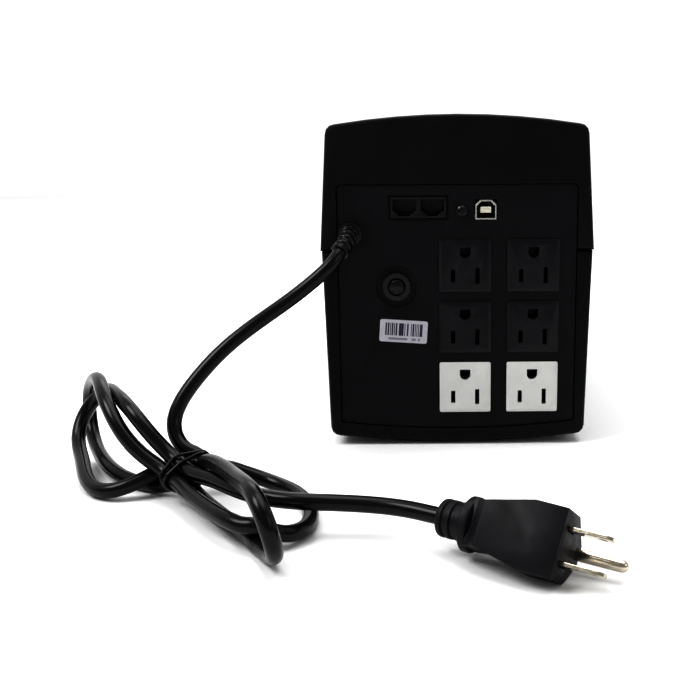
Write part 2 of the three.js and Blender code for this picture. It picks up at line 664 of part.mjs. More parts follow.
/** A three-pin plug lying on its side; X to the pins, Y to the round pin, Z along the blades' line. */
function makePlug() {
  const group = new THREE.Group();
  group.name = 'plug';
  group.position.set(PLUG.x, PLUG.y, PLUG.z);
  group.rotation.order = 'ZYX';
  group.rotation.set(...[PLUG.roll, PLUG.pitch, PLUG.turn].map(THREE.MathUtils.degToRad));
  root.add(group);

  // the body's outline (Z over X) cut to its house-shaped section (Z over Y)
  const flare = [[0, 12.6], [-13, 12.9], [-33, 8.6], [-38, 9.2], [-38, -9.2], [-33, -8.6],
    [-13, -12.9], [0, -12.6]];
  const across = alongY(polygon(flare), -9, 17);
  const house = polygon([[-7.6, -14], [4.3, -14], [15, -3.6], [15, 3.6], [4.3, 14], [-7.6, 14]]);
  const along = alongZ(house, -40, 1).rotateY(Math.PI / 2).rotateX(Math.PI / 2);
  let body = solid(across).intersect(solid(along));
  const disc = (x0, x1, r, sides = 20) => solid(new THREE.CylinderGeometry(r, r, x1 - x0, sides)
    .rotateZ(Math.PI / 2).translate((x0 + x1) / 2, PLUG_MIDDLE, 0));
  body = body.add(disc(-41.5, -37.5, 10.4)).add(disc(-53, -41, 7.5));
  for (const x of [-50.5, -46.5]) {
    body = body.subtract(disc(x, x + 1.5, 9).subtract(disc(x - 1, x + 3, 6.7)));
  }
  for (const z of [-PIN_SPACING / 2, PIN_SPACING / 2]) {
    body = body.subtract(solid(block(-9, -3.5, z - 1.1, 2, 3.5, z + 1.1)));
  }
  const groundAt = (x0, x1, r) => solid(new THREE.CylinderGeometry(r, r, x1 - x0, 16)
    .rotateZ(Math.PI / 2).translate((x0 + x1) / 2, GROUND_OFFSET, 0));
  body = body.subtract(groundAt(-9, 2, 2.4 + GAP));
  piece('plug_body', body, cordBlack, group);

  [['line', 1], ['neutral', -1]].forEach(([name, side]) => {
    const z = side * PIN_SPACING / 2;
    const outline = polygon([[-8.7, -3.15], [BLADE_LONG - 1.6, -3.15], [BLADE_LONG, -1.8],
      [BLADE_LONG, 1.8], [BLADE_LONG - 1.6, 3.15], [-8.7, 3.15]]);
    const eye = solid(barZ(BLADE_LONG - 4.2, 0, 1.6, z - 3, z + 3, 12));
    piece(`plug_blade_${name}`, solid(alongZ(outline, z - 0.75, z + 0.75)).subtract(eye), nickel, group);
  });
  const pin = new THREE.LatheGeometry([
    new THREE.Vector2(0, -8.7),
    new THREE.Vector2(2.4, -8.7),
    new THREE.Vector2(2.4, GROUND_LONG - 2.2),
    new THREE.Vector2(1.7, GROUND_LONG - 0.7),
    new THREE.Vector2(0, GROUND_LONG),
  ], 16).rotateZ(-Math.PI / 2).translate(0, GROUND_OFFSET, 0);
  piece('plug_ground_pin', solid(pin), nickel, group);
}

makeCover();
makeBase();
makeFeet();
makeCaseScrews();
makeBezel();
makeFrontControls();
makePanel();
makeSockets();
makeJack();
makeUsb();
makePanelScrew();
makeBreaker();
makeLabel();
makeBatteries();
makeTransformer();
makeBoards();
makeStrainRelief();
makeCord();
makePlug();

export default root;
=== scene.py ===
"""An uninterruptible power supply seen from behind, with its mains cord tied up in a hank."""

import json
import math

import bmesh
import bpy
import numpy as np
from mathutils import Euler, Matrix, Vector

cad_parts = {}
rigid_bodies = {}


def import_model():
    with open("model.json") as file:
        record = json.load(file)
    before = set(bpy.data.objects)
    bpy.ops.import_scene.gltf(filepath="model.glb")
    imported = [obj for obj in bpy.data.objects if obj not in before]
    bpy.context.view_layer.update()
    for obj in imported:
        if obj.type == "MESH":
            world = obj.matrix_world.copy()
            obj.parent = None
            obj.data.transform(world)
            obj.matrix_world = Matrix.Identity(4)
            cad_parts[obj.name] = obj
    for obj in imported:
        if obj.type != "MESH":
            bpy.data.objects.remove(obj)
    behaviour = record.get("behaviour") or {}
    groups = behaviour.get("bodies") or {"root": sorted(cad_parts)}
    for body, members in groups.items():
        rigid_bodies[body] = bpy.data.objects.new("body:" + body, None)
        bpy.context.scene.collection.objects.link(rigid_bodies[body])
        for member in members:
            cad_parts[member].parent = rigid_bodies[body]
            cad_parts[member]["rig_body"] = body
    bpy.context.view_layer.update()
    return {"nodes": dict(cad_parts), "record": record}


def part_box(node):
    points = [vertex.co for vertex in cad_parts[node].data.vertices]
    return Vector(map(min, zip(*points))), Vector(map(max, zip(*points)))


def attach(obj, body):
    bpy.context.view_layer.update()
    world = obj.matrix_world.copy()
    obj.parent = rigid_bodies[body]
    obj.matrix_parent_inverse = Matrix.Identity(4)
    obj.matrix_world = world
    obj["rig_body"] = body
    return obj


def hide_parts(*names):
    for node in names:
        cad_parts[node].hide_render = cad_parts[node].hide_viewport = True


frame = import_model()
NODES = frame["nodes"]
MM = 0.001

# the cord, in metres: its free stretches follow the CAD part's route, and its loops are drawn through
# listed points
CORD_D = 0.0069
CORD_R = CORD_D / 2
GUIDE_STEP = 0.003          # distance between the points that settle together
RELIEF = [(-0.0552, -0.167, 0.1122), (-0.0553, -0.174, 0.1116), (-0.056, -0.181, 0.1095),
          (-0.059, -0.1865, 0.1045)]
CORD_ROUTE = [
    # down from the relief, over the bundle and down to the floor
    (-0.0584, -0.1857, 0.1054), (-0.0594, -0.1871, 0.104), (-0.062, -0.1905, 0.1), (-0.07, -0.194, 0.093),
    (-0.077, -0.196, 0.087), (-0.085, -0.2, 0.081), (-0.093, -0.204, 0.076), (-0.1, -0.208, 0.071),
    (-0.107, -0.212, 0.066), (-0.113, -0.215, 0.061), (-0.118, -0.218, 0.056), (-0.122, -0.221, 0.051),
    (-0.126, -0.224, 0.046), (-0.13, -0.227, 0.0405), (-0.133, -0.23, 0.0345), (-0.1343, -0.2323, 0.0285),
    (-0.1323, -0.2338, 0.0235), (-0.1293, -0.2365, 0.021), (-0.1256, -0.239, 0.0198),
    (-0.121, -0.2405, 0.0186), (-0.1165, -0.241, 0.017), (-0.112, -0.2405, 0.015),
    (-0.1075, -0.2395, 0.0125), (-0.103, -0.2383, 0.01), (-0.0975, -0.2373, 0.007),
    (-0.091, -0.2385, 0.0048), (-0.084, -0.2425, 0.0036),
    # round the far right loop and back to the tie
    (-0.0755, -0.2515, 0.0035), (-0.0685, -0.267, 0.0035), (-0.065, -0.2825, 0.0035),
    (-0.066, -0.296, 0.0037), (-0.0715, -0.306, 0.005), (-0.0795, -0.3105, 0.0075),
    (-0.0885, -0.3085, 0.01), (-0.099, -0.2985, 0.0105), (-0.11, -0.284, 0.0105), (-0.122, -0.2675, 0.011),
    (-0.1325, -0.2545, 0.0135), (-0.1415, -0.2485, 0.018),
    # up the first left loop and down its inner side
    (-0.149, -0.2455, 0.0235), (-0.154, -0.2425, 0.029), (-0.158, -0.239, 0.034), (-0.161, -0.2355, 0.0385),
    (-0.165, -0.229, 0.042), (-0.17, -0.2185, 0.0445), (-0.176, -0.205, 0.0455), (-0.182, -0.1935, 0.0423),
    (-0.1875, -0.184, 0.037), (-0.1905, -0.179, 0.031), (-0.1912, -0.178, 0.024), (-0.19, -0.1805, 0.017),
    (-0.187, -0.187, 0.0115), (-0.182, -0.1965, 0.008), (-0.1765, -0.206, 0.0068),
    (-0.1715, -0.215, 0.0063),
    # along the floor to the near right loop, and back over the top
    (-0.1665, -0.223, 0.006), (-0.159, -0.23, 0.004), (-0.1505, -0.236, 0.0035), (-0.141, -0.2415, 0.0036),
    (-0.132, -0.247, 0.004), (-0.123, -0.254, 0.004), (-0.112, -0.266, 0.0035), (-0.1015, -0.281, 0.0035),
    (-0.093, -0.294, 0.0035), (-0.0855, -0.3055, 0.0035), (-0.0795, -0.315, 0.0035),
    (-0.075, -0.3235, 0.0043), (-0.072, -0.331, 0.007), (-0.0715, -0.3375, 0.0125),
    (-0.0725, -0.34, 0.0195), (-0.0745, -0.338, 0.0265), (-0.0785, -0.331, 0.0305), (-0.083, -0.321, 0.03),
    (-0.089, -0.3065, 0.028), (-0.0965, -0.289, 0.0255), (-0.105, -0.271, 0.023), (-0.1135, -0.256, 0.0205),
    (-0.1195, -0.2485, 0.0183), (-0.1245, -0.2435, 0.0165), (-0.129, -0.241, 0.0148),
    (-0.134, -0.2405, 0.0128),
    # up the outer side of the second left loop
    (-0.1385, -0.2425, 0.011), (-0.143, -0.246, 0.009), (-0.149, -0.2505, 0.0068),
    (-0.1565, -0.252, 0.0046), (-0.1645, -0.248, 0.0036), (-0.172, -0.2385, 0.0045),
    (-0.178, -0.227, 0.0065), (-0.183, -0.214, 0.009), (-0.188, -0.2045, 0.0105), (-0.191, -0.1975, 0.015),
    (-0.1908, -0.193, 0.021), (-0.1882, -0.1895, 0.027), (-0.1845, -0.188, 0.0315), (-0.18, -0.1895, 0.035),
    (-0.175, -0.196, 0.0378), (-0.17, -0.205, 0.0395),
    # through the tie to the plug
    (-0.1655, -0.2145, 0.0405), (-0.1565, -0.23, 0.0405), (-0.15, -0.2385, 0.0385), (-0.145, -0.243, 0.034),
    (-0.1405, -0.2455, 0.029), (-0.136, -0.246, 0.024), (-0.1305, -0.2475, 0.02), (-0.123, -0.253, 0.0175),
    (-0.1145, -0.262, 0.0165), (-0.105, -0.272, 0.016), (-0.0955, -0.2815, 0.0155),
    (-0.086, -0.2895, 0.0155), (-0.077, -0.2935, 0.0153), (-0.068, -0.2955, 0.0152), (-0.06, -0.296, 0.015),
    (-0.049, -0.296, 0.0144), (-0.04, -0.297, 0.014), (-0.031, -0.299, 0.014), (-0.022, -0.303, 0.0138),
    (-0.0154, -0.3068, 0.0136), (-0.011, -0.3095, 0.0135),
]

# the wire tie: the bundle's middle there, the turn of its plane from X, and the wire's radius
TIE_AT = Vector((-0.1236, -0.253, 0.0135))
TIE_TURN = math.radians(32.7)
TIE_WIRE = 0.0008
BUNDLE_HALF = 0.018         # how far across the bundle its turns reach, with room
BUNDLE_TOP = 0.036          # a height above all of its turns

# the plug's own frame: X to the pins, Y to the round pin, Z along the line of the blades
PLUG_AT = Vector((0.033, -0.3403, 0.0134))
PLUG_TURN = Euler([math.radians(a) for a in (-32.8, 2.1, -32)], "XYZ")
PLUG_MIDDLE = 0.0034        # Y of the cord's line through the plug
PIN_SPACING = 0.0127
GROUND_OFFSET = 0.0119

SOCKET_FACE = -0.1691       # Y of the sockets' front faces
SOCKET_RIM = 0.0007         # how much wider their sloping rims are than the CAD part's
SOCKET_EDGE = 0.0022        # how far in from a socket's outside its rim's points lie
LABEL_AT = (-0.0283, -0.1678, 0.0614)
LABEL_TURN = math.radians(3.9)


# ---------------------------------------------------------------- camera

def make_camera():
    """Stands a little left of the case, level with its top, and looks slightly down."""
    camera = bpy.data.objects.new("camera", bpy.data.cameras.new("camera"))
    bpy.context.scene.collection.objects.link(camera)
    camera.data.sensor_width = 36
    camera.data.lens = 48.857
    camera.data.shift_x = -0.12857
    forward = Vector((0.013494, 0.981065, -0.193207))
    up = Vector((0.007578, 0.193119, 0.981146))
    turn = Matrix((forward.cross(up), up, -forward)).transposed()
    camera.matrix_world = Matrix.Translation((-0.01604, -0.65754, 0.14776)) @ turn.to_4x4()
    bpy.context.scene.camera = camera


# ---------------------------------------------------------------- the cord's curve

def spline(points, per_span=14):
    """Points along a smooth curve through all the given ones."""
    p = np.asarray(points, float)
    q = np.vstack([2 * p[0] - p[1], p, 2 * p[-1] - p[-2]])
    out = []
    for i in range(1, len(q) - 2):
        a, b, c, d = q[i - 1:i + 3]
        for t in np.linspace(0, 1, per_span, endpoint=False):
            out.append(0.5 * (2 * b + (c - a) * t + (2 * a - 5 * b + 4 * c - d) * t ** 2
                              + (3 * b - a - 3 * c + d) * t ** 3))
    return np.array(out + [p[-1]])


def even(points, step):
    """The same line cut into equal steps."""
    s = np.append(0, np.cumsum(np.linalg.norm(np.diff(points, axis=0), axis=1)))
    at = np.linspace(0, s[-1], int(round(s[-1] / step)) + 1)
    return np.stack([np.interp(at, s, points[:, k]) for k in range(3)], 1)


def bundle_coords(points):
    """How far each point lies along the bundle and across it, from the tie."""
    d = points - np.array(TIE_AT)
    along = -math.sin(TIE_TURN) * d[:, 0] + math.cos(TIE_TURN) * d[:, 1]
    across = math.cos(TIE_TURN) * d[:, 0] + math.sin(TIE_TURN) * d[:, 1]
    return along, across


def settle(guide):
    """Lets a stiff cord settle from its guide: it straightens, and its turns press apart."""
    rounds, push_rounds = 150, 6
    pull, end_hold, mobility = 0.03, 10.0, 0.05
    fixed_ends = 4
    neighbours = 3.2 * CORD_D       # nearer than this along the cord, two points can't press apart
    reach = CORD_D + 0.00015
    squeeze, squeeze_width, lift_width = 0.3, 0.009, 0.012
    lift = 2.2 * TIE_WIRE           # the wire passes under the bundle

    n = len(guide)
    bend = np.zeros((n, n))
    for i in range(1, n - 1):
        bend[i - 1:i + 2, i - 1:i + 2] += np.outer([1, -2, 1], [1, -2, 1])
    weight = np.full(n, pull)
    weight[:fixed_ends] = end_hold
    weight[-fixed_ends:] = end_hold
    solve = np.linalg.inv(bend + np.diag(weight) + mobility * np.eye(n))
    target = weight[:, None] * guide
    order = np.arange(n)
    apart = np.abs(order[:, None] - order[None]) * GUIDE_STEP > neighbours
    side = np.array([math.cos(TIE_TURN), math.sin(TIE_TURN)])
    x = guide.copy()
    for _ in range(rounds):
        x = solve @ (mobility * x + target)
        along, across = bundle_coords(x)
        in_bundle = (np.abs(across) < BUNDLE_HALF) & (x[:, 2] < BUNDLE_TOP)
        held = squeeze * np.exp(-(along / squeeze_width) ** 2) * in_bundle
        x[:, :2] -= (held * across)[:, None] * side
        x[:, 2] -= held * (x[:, 2] - TIE_AT.z)
        for _ in range(push_rounds):
            gap = x[:, None] - x[None]
            length = np.linalg.norm(gap, axis=2) + 1e-9
            over = np.where(apart & (length < reach), reach - length, 0)
            if over.max() <= 0 and (x[:, 2] >= CORD_R).all():
                break
            push = (gap / length[..., None] * (over / 2)[..., None]).sum(1)
            x = x + push / np.maximum((over > 0).sum(1), 1)[:, None]
            along, across = bundle_coords(x)
            over_wire = np.exp(-(along / lift_width) ** 2) * (np.abs(across) < 0.02)
            x[:, 2] = np.maximum(x[:, 2], CORD_R + lift * over_wire)
    return x


def curve_object(name, points, radius, bevel=5, handles=3):
    """A round cord or wire on one smooth open curve."""
    data = bpy.data.curves.new(name, "CURVE")
    data.dimensions = "3D"
    data.resolution_u = handles
    data.bevel_depth = radius
    data.bevel_resolution = bevel
    data.use_fill_caps = True
    line = data.splines.new("BEZIER")
    line.bezier_points.add(len(points) - 1)
    for knot, p in zip(line.bezier_points, points):
        knot.co = p
        knot.handle_left_type = knot.handle_right_type = "AUTO"
    obj = bpy.data.objects.new(name, data)
    bpy.context.scene.collection.objects.link(obj)
    return obj


# ---------------------------------------------------------------- mesh helpers

def mesh_object(name, verts, faces, smooth=30):
    """An object made of the given points and faces."""
    data = bpy.data.meshes.new(name)
    data.from_pydata([tuple(v) for v in verts], [], faces)
    return finish_mesh(name, data, smooth)


def finish_mesh(name, data, smooth):
    """Puts a mesh in the scene, smooth but for edges sharper than an angle in degrees."""
    for polygon in data.polygons:
        polygon.use_smooth = True
    data.set_sharp_from_angle(angle=math.radians(smooth))
    obj = bpy.data.objects.new(name, data)
    bpy.context.scene.collection.objects.link(obj)
    return obj


def applied(obj):
    """The object with its modifiers made part of its mesh."""
    graph = bpy.context.evaluated_depsgraph_get()
    data = bpy.data.meshes.new_from_object(obj.evaluated_get(graph))
    obj.modifiers.clear()
    obj.data = data
    return obj


def bevelled(obj, width, segments=2, angle=28):
    """The object with every edge sharper than the angle rounded."""
    bevel = obj.modifiers.new("bevel", "BEVEL")
    bevel.width = width
    bevel.segments = segments
    bevel.limit_method = "ANGLE"
    bevel.angle_limit = math.radians(angle)
    bevel.use_clamp_overlap = True
    bevel.harden_normals = True
    applied(obj)
    return obj


def rounded_copy(node, name, width, before=None):
    """A copy of a CAD node with clean faces and softened edges, which stands for it."""
    data = NODES[node].data.copy()
    if before:
        before(data)
    mesh = bmesh.new()
    mesh.from_mesh(data)
    bmesh.ops.remove_doubles(mesh, verts=mesh.verts, dist=2e-6)
    bmesh.ops.dissolve_limit(mesh, angle_limit=math.radians(0.8), verts=mesh.verts, edges=mesh.edges)
    mesh.to_mesh(data)
    mesh.free()
    obj = finish_mesh(name, data, 35)
    bevelled(obj, width)
    obj.data.materials.clear()
    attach(obj, body_of(node))
    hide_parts(node)
    return obj


def body_of(node):
    return NODES[node]["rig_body"]


def frames_along(points):
    """A side and an up vector at each point of a line, turning as little as they can."""
    points = [Vector(p) for p in points]
    ways = []
    for i in range(len(points)):
        a, b = points[max(i - 1, 0)], points[min(i + 1, len(points) - 1)]
        ways.append((b - a).normalized())
    side = ways[0].orthogonal().normalized()
    out = []
    for way in ways:
        side = (side - way * side.dot(way)).normalized()
        out.append((way, side, way.cross(side)))
    return out


def swept(name, points, radii, sides=32):
    """A closed round body of changing radius along a line."""
    verts, faces = [], []
    for p, r, (_, u, v) in zip(points, radii, frames_along(points)):
        for k in range(sides):
            a = 2 * math.pi * k / sides
            verts.append(Vector(p) + r * (math.cos(a) * u + math.sin(a) * v))
    for i in range(len(points) - 1):
        for k in range(sides):
            j = (k + 1) % sides
            faces.append((i * sides + k, i * sides + j, (i + 1) * sides + j, (i + 1) * sides + k))
    faces.append(tuple(range(sides))[::-1])
    last = (len(points) - 1) * sides
    faces.append(tuple(range(last, last + sides)))
    return mesh_object(name, verts, faces, 40)


def at_length(points, share):
    """The point at a share of a line's length."""
    s = np.append(0, np.cumsum(np.linalg.norm(np.diff(points, axis=0), axis=1)))
    return [float(np.interp(share * s[-1], s, points[:, k])) for k in range(3)]


# ---------------------------------------------------------------- materials

class Shader:
    """A principled material built node by node in the object's own coordinates."""

    def __init__(self, name, metallic=0.0, specular=0.5, coat=0.0, coat_roughness=0.1):
        self.material = bpy.data.materials.new(name)
        self.material.use_nodes = True
        self.tree = self.material.node_tree
        self.shader = self.tree.nodes["Principled BSDF"]
        self.shader.inputs["Metallic"].default_value = metallic
        self.shader.inputs["Specular IOR Level"].default_value = specular
        self.shader.inputs["Coat Weight"].default_value = coat
        self.shader.inputs["Coat Roughness"].default_value = coat_roughness
        self.place = self.node("ShaderNodeTexCoord").outputs["Object"]

    def node(self, kind, **settings):
        node = self.tree.nodes.new(kind)
        for key, value in settings.items():
            setattr(node, key, value)
        return node

    def link(self, output, target):
        self.tree.links.new(output, target)

    def noise(self, scale, detail=3.0, rough=0.5, stretch=None):
        """Noise whose features are scale metres across."""
        node = self.node("ShaderNodeTexNoise")
        node.inputs["Scale"].default_value = 1 / scale
        node.inputs["Detail"].default_value = detail
        node.inputs["Roughness"].default_value = rough
        place = self.place
        if stretch:
            mapping = self.node("ShaderNodeMapping")
            mapping.inputs["Scale"].default_value = stretch
            self.link(self.place, mapping.inputs["Vector"])
            place = mapping.outputs["Vector"]
        self.link(place, node.inputs["Vector"])
        return node.outputs["Fac"]

    def spread(self, value, low, high, start=0.3, end=0.7):
        """The value's stretch from start to end, spread over low to high."""
        node = self.node("ShaderNodeMapRange")
        self.link(value, node.inputs["Value"])
        for key, number in zip(("From Min", "From Max", "To Min", "To Max"), (start, end, low, high)):
            node.inputs[key].default_value = number
        return node.outputs["Result"]

    def math(self, operation, a, b=None):
        node = self.node("ShaderNodeMath", operation=operation)
        for socket, value in zip(node.inputs, (a, b)):
            if isinstance(value, (int, float)):
                socket.default_value = value
            elif value is not None:
                self.link(value, socket)
        return node.outputs[0]

    def mix(self, share, a, b):
        node = self.node("ShaderNodeMix", data_type="RGBA")
        self.link(share, node.inputs[0])
        for socket, value in ((node.inputs[6], a), (node.inputs[7], b)):
            if isinstance(value, tuple):
                socket.default_value = (*value, 1)
            else:
                self.link(value, socket)
        return node.outputs[2]

    def colour(self, output):
        self.link(output, self.shader.inputs["Base Color"])

    def roughness(self, output):
        self.link(output, self.shader.inputs["Roughness"])

    def bump(self, height, strength, distance):
        node = self.node("ShaderNodeBump")
        node.inputs["Strength"].default_value = strength
        node.inputs["Distance"].default_value = distance
        self.link(height, node.inputs["Height"])
        self.link(node.outputs["Normal"], self.shader.inputs["Normal"])


def moulded(name, dark, light, roughness, grain=0.0004, depth=0.3, specular=0.5, patch=0.02, **more):
    """Moulded plastic or rubber: a fine spark-eroded grain, and slow changes of tone and shine."""
    s = Shader(name, specular=specular, **more)
    slow = s.noise(patch)
    s.colour(s.mix(s.spread(slow, 0, 1), dark, light))
    s.roughness(s.spread(s.noise(patch * 0.6, 4), *roughness))
    s.bump(s.noise(grain, 2), depth, 0.00005)
    return s.material


def metal(name, dark, light, roughness, scratch=0.0003, stretch=(1, 0.1, 0.1), depth=0.1, patch=0.003):
    """Plated or plain metal with fine lines along one way and slight tarnish."""
    s = Shader(name, metallic=1.0)
    s.colour(s.mix(s.spread(s.noise(patch), 0, 1), dark, light))
    s.roughness(s.spread(s.noise(scratch, 2, stretch=stretch), *roughness))
    s.bump(s.noise(scratch, 2, stretch=stretch), depth, 0.00002)
    return s.material


def socket_material(name, dark, light, roughness, specular):
    """A socket: plain outside, with painted shade down its slots."""
    s = Shader(name, specular=specular)
    face = s.mix(s.spread(s.noise(0.008), 0, 1), dark, light)
    split = s.node("ShaderNodeSeparateXYZ")
    s.link(s.place, split.inputs[0])
    # painted shade: near-black from just behind the face inwards, standing for the shade down the slots
    painted_shade = s.spread(split.outputs["Y"], 0, 1, SOCKET_FACE + 0.0012, SOCKET_FACE + 0.003)
    s.colour(s.mix(painted_shade, face, (0.002, 0.002, 0.002)))
    s.roughness(s.spread(s.noise(0.006, 4), *roughness))
    s.bump(s.noise(0.0003, 2), 0.15, 0.00005)
    return s.material


def shell_material():
    """The USB socket's plated shell: plating at its rim, and painted shade inside it."""
    s = Shader("usb_plating", metallic=1.0)
    split = s.node("ShaderNodeSeparateXYZ")
    s.link(s.place, split.inputs[0])
    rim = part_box("usb_shell")[0].y
    # painted shade: near-black from just inside the rim inwards, standing for the shade in the shell
    painted_shade = s.spread(split.outputs["Y"], 0, 1, rim + 0.0003, rim + 0.002)
    plate = s.mix(s.spread(s.noise(0.002), 0, 1), (0.42, 0.41, 0.38), (0.6, 0.59, 0.56))
    s.colour(s.mix(painted_shade, plate, (0.02, 0.018, 0.015)))
    s.roughness(s.spread(s.noise(0.0006), 0.2, 0.4))
    s.bump(s.noise(0.0004, 2), 0.1, 0.00003)
    return s.material


def label_material():
    """Pale printed paper: a block of upright bars, and a row of short dashes under it."""
    s = Shader("label_paper", specular=0.3)
    mapping = s.node("ShaderNodeMapping", vector_type="TEXTURE")
    mapping.inputs["Location"].default_value = LABEL_AT
    mapping.inputs["Rotation"].default_value = (0, LABEL_TURN, 0)
    s.link(s.place, mapping.inputs["Vector"])
    split = s.node("ShaderNodeSeparateXYZ")
    s.link(mapping.outputs["Vector"], split.inputs[0])
    x, z = split.outputs["X"], split.outputs["Z"]

    def between(value, low, high):
        return s.math("MULTIPLY", s.math("GREATER_THAN", value, low), s.math("LESS_THAN", value, high))

    def random_cells(size, share):
        cell = s.math("FLOOR", s.math("DIVIDE", x, size))
        noise = s.node("ShaderNodeTexWhiteNoise", noise_dimensions="1D")
        s.link(cell, noise.inputs["W"])
        return s.math("LESS_THAN", noise.outputs["Value"], share)

    bars = s.math("MULTIPLY", random_cells(0.00042, 0.55), s.math("MULTIPLY",
                  between(x, -0.0096, 0.0098), between(z, -0.0024, 0.0042)))
    dashes = s.math("MULTIPLY", random_cells(0.0011, 0.75), s.math("MULTIPLY",
                    between(x, -0.0088, 0.0088), between(z, -0.0047, -0.0035)))
    ink = s.math("MAXIMUM", bars, s.math("MULTIPLY", dashes, 0.6))
    paper = s.mix(s.spread(s.noise(0.004), 0, 1), (0.42, 0.41, 0.45), (0.49, 0.48, 0.525))
    s.colour(s.mix(ink, paper, (0.03, 0.03, 0.06)))
    s.roughness(s.spread(s.noise(0.002), 0.45, 0.6))
    s.bump(s.noise(0.0002, 2), 0.1, 0.00003)
    return s.material


def board_material():
    """Green lacquer with slightly raised tracks."""
    s = Shader("circuit_board", specular=0.5)
    tracks = s.node("ShaderNodeTexBrick")
    tracks.inputs["Scale"].default_value = 120
    s.link(s.place, tracks.inputs["Vector"])
    lines = s.spread(tracks.outputs["Fac"], 0, 1, 0.2, 0.8)
    s.colour(s.mix(lines, (0.01, 0.12, 0.04), (0.03, 0.2, 0.07)))
    s.roughness(s.spread(s.noise(0.002), 0.3, 0.45))
    s.bump(lines, 0.2, 0.0001)
    return s.material


def winding_material():
    """Copper wire wound in close turns."""
    s = Shader("winding", metallic=1.0)
    wave = s.node("ShaderNodeTexWave", bands_direction="Z")
    wave.inputs["Scale"].default_value = 300
    s.link(s.place, wave.inputs["Vector"])
    s.colour(s.mix(wave.outputs["Fac"], (0.25, 0.07, 0.03), (0.6, 0.25, 0.12)))
    s.roughness(s.spread(s.noise(0.002), 0.3, 0.5))
    s.bump(wave.outputs["Fac"], 0.5, 0.0003)
    return s.material


def make_materials():
    """Every material slot of the record, by name."""
    return {
        "case": moulded("case", (0.003, 0.0029, 0.0034), (0.0044, 0.0042, 0.005), (0.42, 0.55),
                        specular=0.12),
        "panel": moulded("panel", (0.0042, 0.0038, 0.0054), (0.006, 0.0055, 0.0076), (0.42, 0.55),
                         specular=0.14),
        "socket_black": socket_material("socket_black", (0.0026, 0.0022, 0.0042), (0.0038, 0.0032, 0.0058),
                                        (0.32, 0.45), 0.28),
        "socket_white": socket_material("socket_white", (0.57, 0.57, 0.555), (0.61, 0.61, 0.595),
                                        (0.3, 0.42), 0.4),
        "gloss_black": moulded("gloss_black", (0.003, 0.003, 0.0035), (0.004, 0.004, 0.0045), (0.16, 0.28),
                               grain=0.0008, depth=0.05, specular=0.3),
        "lens": moulded("lens", (0.012, 0.014, 0.016), (0.016, 0.018, 0.02), (0.06, 0.12),
                        depth=0.02, coat=0.6),
        "led": moulded("led", (0.3, 0.5, 0.25), (0.4, 0.6, 0.3), (0.15, 0.25), depth=0.05, patch=0.002),
        "label": label_material(),
        "foot": moulded("foot", (0.006, 0.006, 0.006), (0.01, 0.01, 0.01), (0.8, 0.95), depth=0.5),
        "steel": metal("steel", (0.32, 0.32, 0.33), (0.45, 0.45, 0.46), (0.3, 0.45)),
        "nickel": metal("nickel", (0.43, 0.39, 0.32), (0.6, 0.555, 0.465), (0.14, 0.24),
                        stretch=(0.15, 0.15, 1)),
        "brass": metal("brass", (0.5, 0.36, 0.12), (0.62, 0.46, 0.18), (0.25, 0.4)),
        "aluminium": metal("aluminium", (0.5, 0.5, 0.51), (0.6, 0.6, 0.61), (0.35, 0.5)),
        "ivory": moulded("ivory", (0.62, 0.59, 0.5), (0.68, 0.65, 0.56), (0.35, 0.5), patch=0.004),
        "circuit_board": board_material(),
        "battery": moulded("battery", (0.02, 0.022, 0.026), (0.03, 0.033, 0.038), (0.45, 0.6)),
        "winding": winding_material(),
        "relay": moulded("relay", (0.02, 0.07, 0.3), (0.03, 0.09, 0.36), (0.3, 0.45), patch=0.006),
        "cord": moulded("cord", (0.0026, 0.0025, 0.0031), (0.0036, 0.0035, 0.0043), (0.2, 0.27),
                        grain=0.003, depth=0.1, specular=0.24, patch=0.03),
        "plug": moulded("plug", (0.006, 0.0055, 0.0074), (0.0088, 0.0081, 0.0104), (0.42, 0.55),
                        grain=0.0003, depth=0.25, specular=0.22, patch=0.008),
    }


MATERIALS = make_materials()


def dress(obj, slot):
    """Gives a new piece the material of a slot."""
    obj.data.materials.clear()
    obj.data.materials.append(MATERIALS[slot])
    return obj


# ---------------------------------------------------------------- pieces

def make_cord():
    """The mains cord on its settled line, which is given back as well."""
    guide = even(spline(CORD_ROUTE), GUIDE_STEP)
    line = settle(guide)
    cord = curve_object("mains_cord", even(line, 0.006), CORD_R, handles=4)
    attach(dress(cord, "cord"), "case")
    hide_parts("cord_lead", "cord_tail", "hank_waist", "hank_left", "hank_right")
    return cord, line


def make_relief():
    """The moulded sleeve: flange, five ribs that grow smaller, and a lip round the cord."""
    line = spline(RELIEF)
    core, lip = 0.0039, 0.0047
    profile = [(0, 0.0045), (0.005, 0.0061), (0.02, 0.0062), (0.065, 0.0062), (0.08, 0.006), (0.085, core)]
    for i in range(5):
        start, r = 0.14 + i * 0.155, 0.0049 - 0.0001 * i
        profile += [(start - 0.012, core), (start, r - 0.0003), (start + 0.014, r), (start + 0.076, r),
                    (start + 0.09, r - 0.0003), (start + 0.102, core)]
    profile += [(0.905, core), (0.92, lip - 0.0003), (0.935, lip), (0.98, lip), (0.995, lip - 0.0003),
                (1, lip - 0.001), (0.99, 0.0036), (0.95, 0.0035)]
    sleeve = swept("relief_sleeve", [at_length(line, t) for t, _ in profile], [r for _, r in profile], 36)
    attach(dress(sleeve, "cord"), "case")
    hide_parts("strain_relief")


def plane_hits(line, along):
    """Where the cord passes through the plane at that place along the bundle: (across, z) pairs."""
    a, b = bundle_coords(line)
    hits = []
    for i in range(len(line) - 1):
        if (a[i] - along) * (a[i + 1] - along) < 0:
            t = (along - a[i]) / (a[i + 1] - a[i])
            hits.append((b[i] + t * (b[i + 1] - b[i]), line[i][2] + t * (line[i + 1][2] - line[i][2])))
    return [(across, z) for across, z in hits if abs(across) < 0.016 and z < 0.034]


